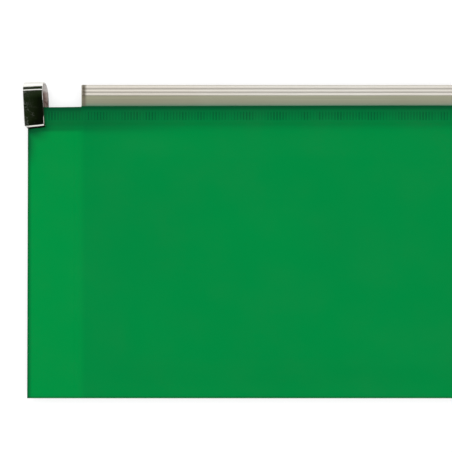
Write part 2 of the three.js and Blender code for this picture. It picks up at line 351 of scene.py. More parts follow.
@dataclass(frozen=True)
class Sheet:
    """The film sheet's sizes and the shape it takes when folded and welded."""

    width: float = 250.0
    height: float = 120.9
    thickness: float = 0.3
    seam: float = 0.4
    margin: float = 21.7
    edge_weld: float = 1.0
    inner_weld: float = 2.4
    side_rise: float = 26.0
    bottom_rise: float = 18.0
    top_rise: float = 14.0
    pocket_top: float = 110.904
    pocket_offset: float = 3.0
    tuck_top: float = 113.1
    tuck_offset: float = 1.0
    bead_bottom: float = 114.3
    climb_start: float = 112.2
    climb_end: float = 114.9
    band_offset: float = 1.85
    trim_length: float = 22.65
    trim_level: float = 120.15
    trim_bow: float = 0.2
    top_lean: float = 0.25
    edge_lean: Point = (-0.14, 0.22)
    edge_step: float = 0.24
    press: float = 0.05
    press_edge: float = 0.4
    ripple: float = 0.12
    left: float = field(default_factory=lambda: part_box("front_panel")[0].x / MM)
    bottom: float = field(default_factory=lambda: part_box("bottom_fold")[0].y / MM)
    middle: float = field(default_factory=lambda: sum(c.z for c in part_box("slider_shell")) / 2 / MM)

    def at(self, x: float, y: float, offset: float) -> Place:
        """Places a point, given in millimetres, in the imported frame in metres."""
        return (x + self.left) * MM, (y + self.bottom) * MM, (self.middle + offset) * MM

    def fold_radius(self) -> float:
        """Outer radius of the film round the bottom edge."""
        return self.seam / 2 + self.thickness

    def from_side(self, x: float) -> float:
        """Distance to the nearer side edge."""
        return min(x, self.width - x)

    def top(self, x: float) -> float:
        """Height of the film's top edge, which is cut lower over the margins."""
        near = self.from_side(x) / self.trim_length
        if near < 1:
            return self.trim_level + self.trim_bow * near**2
        return self.height - self.top_lean * max(0.0, 1 - (x - 25) / 125)

    def trimmed(self, x: float, y: float) -> float:
        """Place along the zip once the left edge is cut a little out of square."""
        lean = lerp(*self.edge_lean, y / self.height) + self.edge_step * eased((y - 97) / 14)
        shift = lean * eased((119 - y) / 7)
        return x + shift * max(0.0, 1 - x / 19)

    def inner_offset(self, x: float, y: float) -> float:
        """Offset of the film's inner face from the mid plane.

        Args:
            x: Place along the zip.
            y: Height above the fold.

        Returns:
            The offset in millimetres.
        """
        if y >= self.climb_start:
            climb = eased((y - self.climb_start) / (self.climb_end - self.climb_start))
            return lerp(self.tuck_offset, self.band_offset, climb)
        side = eased((self.from_side(x) - self.margin) / self.side_rise)
        foot = eased((y - self.fold_radius()) / self.bottom_rise)
        pocket = lerp(self.seam / 2, self.pocket_offset, side * foot)
        return lerp(self.tuck_offset, pocket, eased((self.pocket_top - y) / self.top_rise))

    def outer_offset(self, x: float, y: float) -> float:
        """Offset of the film's outer face, with the welds pressed in and a faint ripple.

        Args:
            x: Place along the zip.
            y: Height above the fold.

        Returns:
            The offset in millimetres.
        """
        near, edge = self.from_side(x), self.press_edge
        start = self.margin - self.inner_weld
        pressed = eased((near - start) / edge) * eased((self.margin - near) / edge)
        pressed = max(pressed, eased((self.edge_weld - near) / edge))
        flat = eased((near - self.margin) / self.side_rise) * eased((y - 4) / 20) * eased((104 - y) / 20)
        wave = math.sin(x / 19 + 0.6) * math.sin(y / 16 + 1.1) + 0.6 * math.sin(x / 31 - y / 23)
        return self.inner_offset(x, y) + self.thickness - self.press * pressed + self.ripple * flat * wave


class Ground:
    """Lengths that a finish's pattern follows, in the frame the part was drawn in."""

    def __init__(self, tree: Tree, sheet: Sheet) -> None:
        """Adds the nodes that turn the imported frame's metres into millimetres of that frame.

        Args:
            tree: The material's tree.
            sheet: The sheet that knows where the frame lies.
        """
        self.tree, self.sheet = tree, sheet
        place = wire(tree, "ShaderNodeTexCoord", output="Object")
        shift = (-sheet.left, -sheet.bottom, -sheet.middle)
        self.mm = wire(tree, "ShaderNodeMapping", {"Vector": place, "Location": shift, "Scale": (1 / MM,) * 3})
        self.x, self.y, self.z = wire(tree, "ShaderNodeSeparateXYZ", {0: self.mm}).node.outputs

    def from_side(self) -> Socket:
        """Distance to the nearer side edge."""
        half = self.sheet.width / 2
        away = wire(self.tree, MATH, {0: self.x, 1: half}, operation="SUBTRACT")
        away = wire(self.tree, MATH, {0: away}, operation="ABSOLUTE")
        return wire(self.tree, MATH, {0: half, 1: away}, operation="SUBTRACT")

    def cells(self, scale: float, detail: float) -> dict[int | str, Any]:
        """Inputs of a noise with so many cells to a millimetre."""
        return {"Vector": self.mm, "Scale": scale, "Detail": detail}


@dataclass(frozen=True)
class Finish:
    """A material that follows the lengths of the part."""

    name: str = "finish"
    roughness: float = 0.3

    def shade(self, ground: Ground) -> Socket:
        """Draws the finish.

        Args:
            ground: The lengths that the pattern follows.

        Returns:
            The shader.
        """
        raise NotImplementedError

    def make(self, sheet: Sheet) -> Material:
        """Builds the material.

        Args:
            sheet: The sheet whose frame and sizes the pattern follows.

        Returns:
            The material.
        """
        made, tree = fresh(self.name)
        wire(tree, "ShaderNodeOutputMaterial", {0: self.shade(Ground(tree, sheet))})
        return made


@dataclass(frozen=True)
class FilmFinish(Finish):
    """Cast polypropylene film, dyed through in green.

    Smooth and glossy with a faint haze, so it shows a little of what lies behind it. It is
    drawn deepest where it is fused, with painted shade where the zip backs it, beside and below
    the parked slider, and where light runs out of its edges.
    """

    name: str = "green_polypropylene_film"
    roughness: float = 0.11
    body: str = "#009a49"
    margin: str = "#00a34b"
    deep: str = "#063d28"
    tint: str = "#00c36d"
    see_through: float = 0.30
    tick_pitch: float = 1.25
    tick_start: float = 1.875
    tick_depth: float = 0.49

    def shade(self, ground: Ground) -> Socket:
        """Draws the film.

        Args:
            ground: The lengths that the pattern follows.

        Returns:
            The shader.
        """
        tree, x, y, near = ground.tree, ground.x, ground.y, ground.from_side()
        top = wire(tree, "ShaderNodeAttribute", output="Fac", attribute_name="from_top")
        beat = 2 * math.pi / self.tick_pitch
        teeth = wire(tree, MATH, {0: x, 1: beat, 2: -beat * self.tick_start}, operation="MULTIPLY_ADD")
        teeth = wire(tree, MATH, {0: teeth}, operation="COSINE")
        grip = wire(tree, NOISE, {"W": x, "Scale": 0.15, "Detail": 2.0}, noise_dimensions="1D")
        drift, smear, grain = (
            wire(tree, NOISE, ground.cells(*cells)) for cells in ((0.022, 1.0), (0.06, 4.0), (1.4, 2.0))
        )
        # What each effect follows, where it sets in and ends, and its strength before and after
        smooth = {
            "margin": (near, 21.2, 24.4, 1.0, 0.0),
            # The zip behind the film takes its light away, and more so towards the lips
            "band": (top, 0.6, 9.6, 0.57, 0.15),
            "band end": (top, 8.7, 10.7, 1.0, 0.0),
            "line": (top, 0.4, 2.6, 0.65, 0.0),
            # No light comes back through the cut-away corner, nor for some way along the band
            "deeper": (top, 3.5, 7.0, 0.0, 1.0),
            "corner end": (top, 9.0, 10.6, 1.0, 0.0),
            "beside end": (top, 9.2, 12.3, 1.0, 0.0),
            # Painted shadow of the parked slider, beside it on the band and below it, and painted
            # shade down the left edge to about 27 mm below the top
            "painted_light": (x, 7.5, 12.5, 0.15, 0.0),
            "patch": (x, 2.0, 11.5, 0.78, 0.0),
            "worn start": (top, 8.4, 10.2, 0.0, 1.0),
            "worn end": (top, 9.2, 15.5, 1.0, 0.0),
            "edge": (x, 0.4, 4.8, 1.0, 0.0),
            "edge end": (top, 14.0, 27.0, 0.62, 0.0),
            # The horn that welds the zip leaves its teeth in the film, unevenly pressed
            "teeth": (teeth, -0.3, 0.5, 0.0, 1.0),
            "teeth foot": (y, 114.7, 115.1, 0.0, 1.0),
            "teeth head": (y, 118.5, 118.1, 0.0, 1.0),
            "grip": (grip, 0.36, 0.64, 0.45 * self.tick_depth, 1.2 * self.tick_depth),
            "border end": (near, 20.2, 21.2, 1.0, 0.0),
            # Painted shade along the turned bottom edge
            "fold": (y, 0.6, 1.3, 0.44, 0.0),
        }
        straight = {
            "fade": (near, 24.0, 68.0, 1.0, 0.0),
            # Light runs out of the cut side edge, and is caught at the inner weld's border
            "rim": (near, 0.0, 1.9, 0.8, 0.0),
            "border": (near, 19.4, 19.9, 0.0, 1.0),
            # Thickness of the cast film drifts over a few centimetres
            "drift": (drift, 0.3, 0.7, 0.965, 1.02),
        }
        made: dict[Any, Any] = {
            name: wire(tree, RANGE, span(*zone), interpolation_type=kind)
            for kind, zones in (("SMOOTHSTEP", smooth), ("LINEAR", straight))
            for name, zone in zones.items()
        }
        steps = (
            ("band", "MULTIPLY", "band", "band end"),
            ("corner", "MULTIPLY_ADD", "deeper", 0.09, 0.30),
            ("corner", "ADD", "corner", "painted_light"),
            ("corner", "MULTIPLY", "corner", "corner end"),
            ("corner", "MULTIPLY", "corner", "margin"),
            ("patch", "MULTIPLY", "patch", "worn start"),
            ("patch", "MULTIPLY", "patch", "worn end"),
            ("edge", "MULTIPLY", "edge", "edge end"),
            ("patch", "MAXIMUM", "patch", "edge"),
            ("fade", "SUBTRACT", "fade", "margin"),
            ("fade", "MAXIMUM", "fade", 0.0),
            ("beside", "MULTIPLY_ADD", "deeper", 0.20, 0.13),
            ("beside", "MULTIPLY", "beside", "beside end"),
            ("beside", "MULTIPLY", "beside", "fade"),
            ("border", "MULTIPLY", "border", "border end"),
            ("border", "MULTIPLY_ADD", "border", -0.035, 0.035),
            ("teeth", "MULTIPLY", "teeth", "teeth foot"),
            ("teeth", "MULTIPLY", "teeth", "teeth head"),
            ("bitten", "MULTIPLY", "teeth", "grip"),
        )
        for name, operation, *terms in steps:
            given = {i: made.get(term, term) for i, term in enumerate(terms)}
            made[name] = wire(tree, MATH, given, operation=operation)
        shade: Any = 1.0
        for name in ("band", "line", "corner", "patch", "beside", "rim", "border", "bitten", "fold"):
            rest = wire(tree, MATH, {0: 1.0, 1: made[name]}, operation="SUBTRACT")
            shade = wire(tree, MATH, {0: shade, 1: rest}, operation="MULTIPLY")
        shade = wire(tree, MATH, {0: shade, 1: made["drift"]}, operation="MULTIPLY", use_clamp=True)
        light = wire(tree, MIX, {0: made["margin"], 6: self.body, 7: self.margin}, **COLOURS)
        colour = wire(tree, MIX, {0: shade, 6: self.deep, 7: light}, **COLOURS)
        # Haze of handling: broad faint smears that change only the gloss
        rough = wire(tree, RANGE, span(smear, 0.35, 0.65, self.roughness - 0.03, self.roughness + 0.04))
        # The cast surface has a fine grain, drawn at 0.7 mm so that it shows at all
        relief = wire(tree, MATH, {0: grain, 1: 0.2}, operation="MULTIPLY")
        relief = wire(tree, MATH, {0: relief, 1: made["teeth"]}, operation="SUBTRACT")
        bump = wire(tree, "ShaderNodeBump", {"Strength": 0.3, "Distance": 0.00004, "Height": relief})
        given = {"Base Color": colour, "Roughness": rough, "IOR": 1.49, "Normal": bump}
        shell = wire(tree, "ShaderNodeBsdfPrincipled", given)
        clear = wire(tree, "ShaderNodeBsdfTransparent", {0: self.tint})
        share = wire(tree, RANGE, span(shade, 0.3, 1.0, 0.12, self.see_through))
        return wire(tree, "ShaderNodeMixShader", {0: share, 1: shell, 2: clear})


@dataclass(frozen=True)
class WeldFinish(Finish):
    """Green film fused to film or to the zip: a little deeper and duller than the film."""

    name: str = "fused_green_film"
    roughness: float = 0.42
    colour: str = "#04602f"
    patch: str = "#0b7a40"

    def shade(self, ground: Ground) -> Socket:
        """Draws the weld.

        Args:
            ground: The lengths that the pattern follows.

        Returns:
            The shader.
        """
        tree = ground.tree
        # Melt pools unevenly along the weld, every few millimetres
        pools = wire(tree, NOISE, ground.cells(0.45, 3.0))
        colour = wire(tree, "ShaderNodeValToRGB", {0: pools}, stops=((0.35, self.colour), (0.7, self.patch)))
        rough = wire(tree, RANGE, span(pools, 0.3, 0.7, self.roughness - 0.08, self.roughness + 0.08))
        bump = wire(tree, "ShaderNodeBump", {"Strength": 0.3, "Distance": 0.00005, "Height": pools})
        given = {"Base Color": colour, "Roughness": rough, "IOR": 1.49, "Normal": bump}
        return wire(tree, "ShaderNodeBsdfPrincipled", given)


@dataclass(frozen=True)
class TrackFinish(Finish):
    """Natural polyethylene, extruded: milky, slightly waxy, with fine lines along its length.

    The thick ribs at the top scatter light and look near white; the grooves between them carry
    painted shade and the lip's rounded top edge a painted highlight. The thin wall below lets the
    room through, and looks tan, then turns green near the film, painted green light from it.
    """

    name: str = "milky_extruded_polyethylene"
    roughness: float = 0.34
    rib: str = "#e4e0d6"
    groove: str = "#bbb7ae"
    wall: str = "#9f9f88"
    low: str = "#93957f"
    foot: str = "#72927a"
    cut: str = "#675f4f"
    tint: str = "#e8e4d4"
    warmth: Place = (0.95, 0.92, 0.89)
    see_through: float = 0.10

    def shade(self, ground: Ground) -> Socket:
        """Draws the extruded plastic.

        Args:
            ground: The lengths that the pattern follows.

        Returns:
            The shader.
        """
        tree, y, near = ground.tree, ground.y, ground.from_side()
        height = wire(tree, RANGE, span(y, 119.5, 129.5))
        # From the foot up: painted green light from the film, the tan wall, then the darker tone of the grooves
        # between the ribs, painted shade
        levels = zip((0.14, 0.27, 0.48, 0.55, 0.57), (self.foot, self.low, self.wall, self.wall, self.groove))
        colour = wire(tree, "ShaderNodeValToRGB", {0: height}, stops=tuple(levels))
        # Only the ribs' crests, where the plastic is thickest, are drawn near white, and the lip's
        # rounded top edge too, as a painted highlight
        outward = wire(tree, MATH, {0: ground.z}, operation="ABSOLUTE")
        thick = wire(tree, RANGE, span(outward, 1.72, 1.86))
        edge = wire(tree, RANGE, span(y, 129.1, 129.4))
        white = wire(tree, MATH, {0: thick, 1: edge}, operation="MAXIMUM")
        colour = wire(tree, MIX, {0: white, 6: colour, 7: self.rib}, **COLOURS)
        # Die lines run along the extrusion, a third of a millimetre apart
        stretched = wire(tree, "ShaderNodeMapping", {"Vector": ground.mm, "Scale": (0.012, 3.0, 3.0)})
        lines = wire(tree, NOISE, {"Vector": stretched, "Scale": 1.0, "Detail": 3.0})
        tone = wire(tree, RANGE, span(lines, 0.3, 0.7, 0.9, 1.06))
        colour = wire(tree, "ShaderNodeVectorMath", {0: colour, "Scale": tone}, operation="SCALE")
        # Handling has warmed it towards the ends, and the melt's colour drifts over centimetres
        warm = wire(tree, RANGE, span(near, 35.0, 110.0, 0.4, -0.5))
        drift = wire(tree, NOISE, ground.cells(0.06, 2.0))
        warm = wire(tree, MATH, {0: warm, 1: drift}, operation="ADD", use_clamp=True)
        tinted = wire(tree, "ShaderNodeVectorMath", {0: colour, 1: self.warmth}, operation="MULTIPLY")
        colour = wire(tree, MIX, {0: warm, 6: colour, 7: tinted}, **COLOURS)
        # Beside the cut end the plastic is drawn darker for about a millimetre, and most of all in the lip
        cut_end_dark = wire(tree, RANGE, span(near, 23.85, 24.95, 0.95, 0.0))
        for zone in ((near, 22.75, 23.25, 0.4), (y, 123.6, 125.4, 0.8)):
            weaker = wire(tree, RANGE, span(*zone))
            cut_end_dark = wire(tree, MATH, {0: cut_end_dark, 1: weaker}, operation="MULTIPLY")
        colour = wire(tree, MIX, {0: cut_end_dark, 6: colour, 7: self.cut}, **COLOURS)
        rough = wire(tree, RANGE, span(lines, 0.3, 0.7, self.roughness - 0.06, self.roughness + 0.08))
        bump = wire(tree, "ShaderNodeBump", {"Strength": 0.25, "Distance": 0.00004, "Height": lines})
        given = {"Base Color": colour, "Roughness": rough, "IOR": 1.51, "Normal": bump}
        shell = wire(tree, "ShaderNodeBsdfPrincipled", given)
        clear = wire(tree, "ShaderNodeBsdfTransparent", {0: self.tint})
        return wire(tree, "ShaderNodeMixShader", {0: self.see_through, 1: shell, 2: clear})


@dataclass(frozen=True)
class PlatedSteelFinish(Finish):
    """Nickel-plated strip steel, bent after plating.

    The faces mirror the room, which is dark overhead, and the bends draw thin white lines of
    the bright surroundings. The inner faces keep the duller skin of the strip, and handling
    leaves a few hazy scuffs.
    """

    name: str = "nickel_plated_strip_steel"
    roughness: float = 0.06
    plate: str = "#d9d8d2"
    bright: str = "#e6e5df"
    inner: str = "#d6c5bd"
    inner_arch: str = "#fdfaf7"
    stain_and_shade: str = "#7b5048"
    painted_shade: str = "#15170f"
    painted_side_shade: float = 0.85
    dull: float = 0.5

    def shade(self, ground: Ground) -> Socket:
        """Draws the steel.

        Args:
            ground: The lengths that the pattern follows.

        Returns:
            The shader.
        """
        tree, x, y = ground.tree, ground.x, ground.y
        inner, painted_shade = (
            wire(tree, "ShaderNodeAttribute", output="Fac", attribute_name=name) for name in ("inside", "painted_shade")
        )
        # Plating is thin inside the bend, and stains brown in spots of a millimetre or so. The same
        # brown is painted shade on the inner faces further in from the open right-hand end
        stain_and_shade_mask = wire(tree, NOISE, ground.cells(0.55, 3.0))
        stain_and_shade_mask = wire(tree, RANGE, span(stain_and_shade_mask, 0.44, 0.62, 0.0, 0.85))
        deep = wire(tree, RANGE, span(x, 5.7, 6.9, 0.85, 0.0))
        stain_and_shade_mask = wire(tree, MATH, {0: stain_and_shade_mask, 1: deep}, operation="MAXIMUM")
        skin = wire(tree, MIX, {0: stain_and_shade_mask, 6: self.inner, 7: self.stain_and_shade}, **COLOURS)
        # Painted light: the inner faces under the arch are drawn near white
        arch = wire(tree, RANGE, span(y, 126.6, 128.4))
        skin = wire(tree, MIX, {0: arch, 6: skin, 7: self.inner_arch}, **COLOURS)
        # Painted highlight: the plate's arch over the lips is drawn brighter, and its cut side is
        # spared most of the painted side shade
        painted_light = wire(tree, RANGE, span(y, 127.5, 128.0))
        plate = wire(tree, MIX, {0: painted_light, 6: self.plate, 7: self.bright}, **COLOURS)
        colour = wire(tree, MIX, {0: inner, 6: plate, 7: skin}, **COLOURS)
        # Painted shade: faces turned towards +x, the cut right-hand sides, are drawn dark
        facing = wire(tree, "ShaderNodeTexCoord", output="Normal")
        facing = wire(tree, "ShaderNodeSeparateXYZ", {0: facing})
        painted_side_shade = wire(tree, RANGE, span(facing, 0.8, 0.95, 0.0, self.painted_side_shade))
        kept = wire(tree, RANGE, span(painted_light, 0.0, 1.0, 1.0, 0.35))
        painted_side_shade = wire(tree, MATH, {0: painted_side_shade, 1: kept}, operation="MULTIPLY")
        # The painted shade under the lower bend and on the cut sides darkens towards one colour
        painted_shade = wire(tree, MATH, {0: painted_shade, 1: painted_side_shade}, operation="MAXIMUM")
        colour = wire(tree, MIX, {0: painted_shade, 6: colour, 7: self.painted_shade}, **COLOURS)
        # Scuffs a millimetre or two across, where the thumb pushes
        scuffs = wire(tree, NOISE, ground.cells(0.42, 5.0) | {"Roughness": 0.65})
        patch = wire(tree, RANGE, span(x, 0.5, 4.5, 0.16, 0.0))
        scuffs = wire(tree, MATH, {0: scuffs, 1: patch}, operation="ADD")
        haze = wire(tree, RANGE, span(scuffs, 0.5, 0.75, self.roughness, 0.3))
        rough = wire(tree, MIX, {0: inner, 2: haze, 3: self.dull})
        metal = wire(tree, RANGE, span(inner, 0.0, 1.0, 1.0, 0.3))
        # Rolling lines of the strip, too fine to see, drawn ten to the millimetre
        strip = wire(tree, "ShaderNodeMapping", {"Vector": ground.mm, "Scale": (10.0, 0.3, 10.0)})
        rolled = wire(tree, NOISE, {"Vector": strip, "Scale": 1.0, "Detail": 2.0})
        bump = wire(tree, "ShaderNodeBump", {"Strength": 0.12, "Distance": 0.00002, "Height": rolled})
        given = {"Base Color": colour, "Metallic": metal, "Roughness": rough, "Normal": bump}
        return wire(tree, "ShaderNodeBsdfPrincipled", given)


@dataclass
class FilmPocket:
    """The folded sheet of film and the welds that close its sides."""

    sheet: Sheet
    film: Material
    weld: Material
    bite: float = 0.1
    inset: float = 0.05

    def columns(self) -> list[float]:
        """Places along the zip, closest together where the film bends or is pressed."""
        sheet = self.sheet
        start = sheet.margin - sheet.inner_weld
        half = [0.0, 0.12, 0.3, 0.6, 0.8, 1.0, 1.2, 2.0, 6.0, 11.0, 16.0]
        half += spread(start - 0.3, start + 0.5, 6) + spread(start + 0.9, sheet.margin - 0.1, 5)
        half += [sheet.trim_length - 0.01, sheet.trim_length + 0.01, sheet.trim_length + 0.4]
        half += spread(23.1, sheet.margin + sheet.side_rise, 22)[1:] + spread(52.0, sheet.width / 2, 14)
        return half + [sheet.width - x for x in reversed(half[:-1])]

    def heights(self) -> list[float]:
        """Heights up a panel, closest together in its bends, without the top edge's."""
        sheet = self.sheet
        low = sheet.fold_radius()
        made = spread(low, low + sheet.bottom_rise, 18) + spread(22, sheet.pocket_top - sheet.top_rise, 13)
        made += spread(sheet.pocket_top - sheet.top_rise, sheet.pocket_top, 16)[1:]
        made += [111.5, 111.9] + spread(sheet.climb_start, sheet.climb_end, 12)
        return made + [115.5, 117.0, 118.5, 119.2, 119.6]

    def path(self, x: float, outer: bool) -> list[Point]:
        """The film's section at one place along the zip, down the front and up the back.

        Args:
            x: Place along the zip.
            outer: Whether it is the outer or the inner face.

        Returns:
            Heights and signed offsets.
        """
        sheet = self.sheet
        measure = sheet.outer_offset if outer else sheet.inner_offset
        top = sheet.top(x)
        rise = [(y, measure(x, y)) for y in [*self.heights(), top - 0.25, top]]
        radius = sheet.fold_radius() if outer else sheet.seam / 2
        start, end = rise[0][1], -rise[0][1]
        turn = []
        for angle in spread(0, math.pi, 14)[1:-1]:
            reach = radius * math.sin(angle) ** FULL
            turn.append((sheet.fold_radius() - reach, lerp(start, end, (1 - math.cos(angle)) / 2)))
        return rise[::-1] + turn + [(y, -offset) for y, offset in rise]

    def build_film(self) -> Object:
        """Folds the sheet: front panel, turned bottom edge and back panel in one piece.

        Returns:
            The dressed piece.
        """
        sheet, columns = self.sheet, self.columns()
        skins = [[self.path(x, outer) for x in columns] for outer in (True, False)]
        rows, count = len(skins[0][0]), len(columns)
        corners = [
            sheet.at(sheet.trimmed(x, y), y, offset)
            for skin in skins
            for x, section in zip(columns, skin)
            for y, offset in section
        ]

        def spot(skin: int, i: int, j: int) -> int:
            """Number of one corner."""
            return (skin * count + i) * rows + j

        faces = []
        for i in range(count - 1):
            for j in range(rows - 1):
                for skin in (0, 1):
                    ring = [spot(skin, i, j), spot(skin, i + 1, j)]
                    ring += [spot(skin, i + 1, j + 1), spot(skin, i, j + 1)]
                    faces.append(ring if skin == 0 else ring[::-1])
        for i in range(count - 1):
            for j in (0, rows - 1):
                ring = [spot(0, i, j), spot(1, i, j), spot(1, i + 1, j), spot(0, i + 1, j)]
                faces.append(ring if j == 0 else ring[::-1])
        for j in range(rows - 1):
            for i in (0, count - 1):
                ring = [spot(0, i, j + 1), spot(1, i, j + 1), spot(1, i, j), spot(0, i, j)]
                faces.append(ring if i == 0 else ring[::-1])
        piece = solid("film_sheet", corners, faces)
        places = [v.co / MM for v in piece.data.vertices]
        tag(piece, "from_top", [sheet.top(p.x - sheet.left) - (p.y - sheet.bottom) for p in places])
        return dress(piece, self.film, Body.FOLDER, Slot.FILM, "front_panel", "back_panel", "bottom_fold")

    def build_side_weld(self, name: str, start: float, width: float) -> Object:
        """Fuses the two films over a strip that runs from the fold up to the zip.

        Args:
            name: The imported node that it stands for.
            start: Where the strip starts along the zip.
            width: How wide it is.

        Returns:
            The dressed piece.
        """
        sheet, inset = self.sheet, self.inset
        face = [(y, sheet.inner_offset(0, y) + self.bite) for y in self.heights() if y <= sheet.pocket_top]
        outline = face + [(y, -offset) for y, offset in reversed(face)]
        rings = [
            [sheet.at(sheet.trimmed(x, y), y, offset) for y, offset in outline]
            for x in (start + inset, start + width / 2, start + width - inset)
        ]
        piece = solid(f"{name}_strip", *lofted(rings))
        return dress(piece, self.weld, Body.FOLDER, Slot.WELD, name)

    def build(self) -> None:
        """Builds the film and its four side welds."""
        sheet = self.sheet
        self.build_film()
        self.build_side_weld("left_edge_weld", 0, sheet.edge_weld)
        self.build_side_weld("right_edge_weld", sheet.width - sheet.edge_weld, sheet.edge_weld)
        self.build_side_weld("left_inner_weld", sheet.margin - sheet.inner_weld, sheet.inner_weld)
        self.build_side_weld("right_inner_weld", sheet.width - sheet.margin, sheet.inner_weld)


@dataclass
class RibbedWeld:
    """Comb of short upright ticks that fuses a film to its track."""

    sheet: Sheet
    weld: Material
    pitch: float = 1.25
    tick_width: float = 0.6
    bottom: float = 114.9
    top: float = 118.2
    spine: float = 0.4
    spine_lap: float = 0.02
    spine_share: float = 0.8
    end: float = 1.2
    inner: float = 1.65
    outer: float = 1.93
    bevel: float = 0.12
    shoulder: Point = (0.5, 0.45)
    tip: float = 0.6
    weakest: Place = (1.0, 0.93, 0.9)
    seed: int = 7

    def grow(self) -> tuple[Tree, Socket]:
        """Repeats the incoming tick along a spine, each pressed a little differently.

        Returns:
            The Geometry Nodes tree and what it grows.
        """
        vectors = ("Start", "Pitch", "Spine Size", "Spine Centre")
        tree, tick = growing_tree("ribbed_weld", {"Int": ("Count", "Seed"), "Vector": vectors})
        given = tick.node.outputs
        row = {"Count": given["Count"], "Start Location": given["Start"], "Offset": given["Pitch"]}
        row = wire(tree, "GeometryNodeMeshLine", row)
        press = {0: self.weakest, 1: (1.0, 1.0, 1.0), "Seed": given["Seed"]}
        press = wire(tree, "FunctionNodeRandomValue", press, data_type="FLOAT_VECTOR")
        ticks = {"Points": row, "Instance": tick, "Scale": press}
        joined = wire(tree, "GeometryNodeJoinGeometry", {0: wire(tree, "GeometryNodeInstanceOnPoints", ticks)})
        bar = wire(tree, "GeometryNodeMeshCube", {"Size": given["Spine Size"]})
        bar = wire(tree, "GeometryNodeTransform", {"Geometry": bar, "Translation": given["Spine Centre"]})
        tree.links.new(bar, joined.node.inputs[0])
        return tree, joined

    def build_tick(self, name: str, side: Side) -> Object:
        """Makes one tick, hung from its top at the origin, with a rounded outer face.

        Args:
            name: The name of the piece it grows into.
            side: The half it belongs to.

        Returns:
            The object.
        """
        half, drop, depth = self.tick_width / 2, self.bottom - self.top, self.outer - self.inner
        across, up = self.shoulder
        section = [(-half, 0.0), (-half, depth * up), (-half * across, depth)]
        section += [(-x, z) for x, z in reversed(section)]
        rings = [
            [(x * MM, y * MM, side.value * z * shrink * MM) for x, z in section]
            for y, shrink in ((0.0, 1.0), (drop + self.bevel, 1.0), (drop, self.tip))
        ]
        return solid(name, *lofted(rings))

    def build(self, side: Side) -> Object:
        """Builds the comb of one half.

        Args:
            side: The half it belongs to.

        Returns:
            The dressed piece.
        """
        sheet, half = self.sheet, side.name.lower()
        count = int((sheet.width - 2 * self.end - self.tick_width) // self.pitch) + 1
        row, depth = (count - 1) * self.pitch, self.outer - self.inner
        thick = depth * self.spine_share
        middle = self.top + self.spine / 2 - self.spine_lap, side.value * (self.inner + thick / 2)
        values = {
            "Count": count,
            "Start": sheet.at((sheet.width - row) / 2, self.top, side.value * self.inner),
            "Pitch": (self.pitch * MM, 0.0, 0.0),
            "Spine Size": ((row + self.tick_width) * MM, self.spine * MM, thick * MM),
            "Spine Centre": sheet.at(sheet.width / 2, *middle),
            "Seed": self.seed + side.value,
            "Finish": self.weld,
        }
        piece = grown(self.build_tick(f"{half}_weld_comb", side), *self.grow(), values)
        return dress(piece, self.weld, Body.FOLDER, Slot.WELD, f"{half}_track_weld")


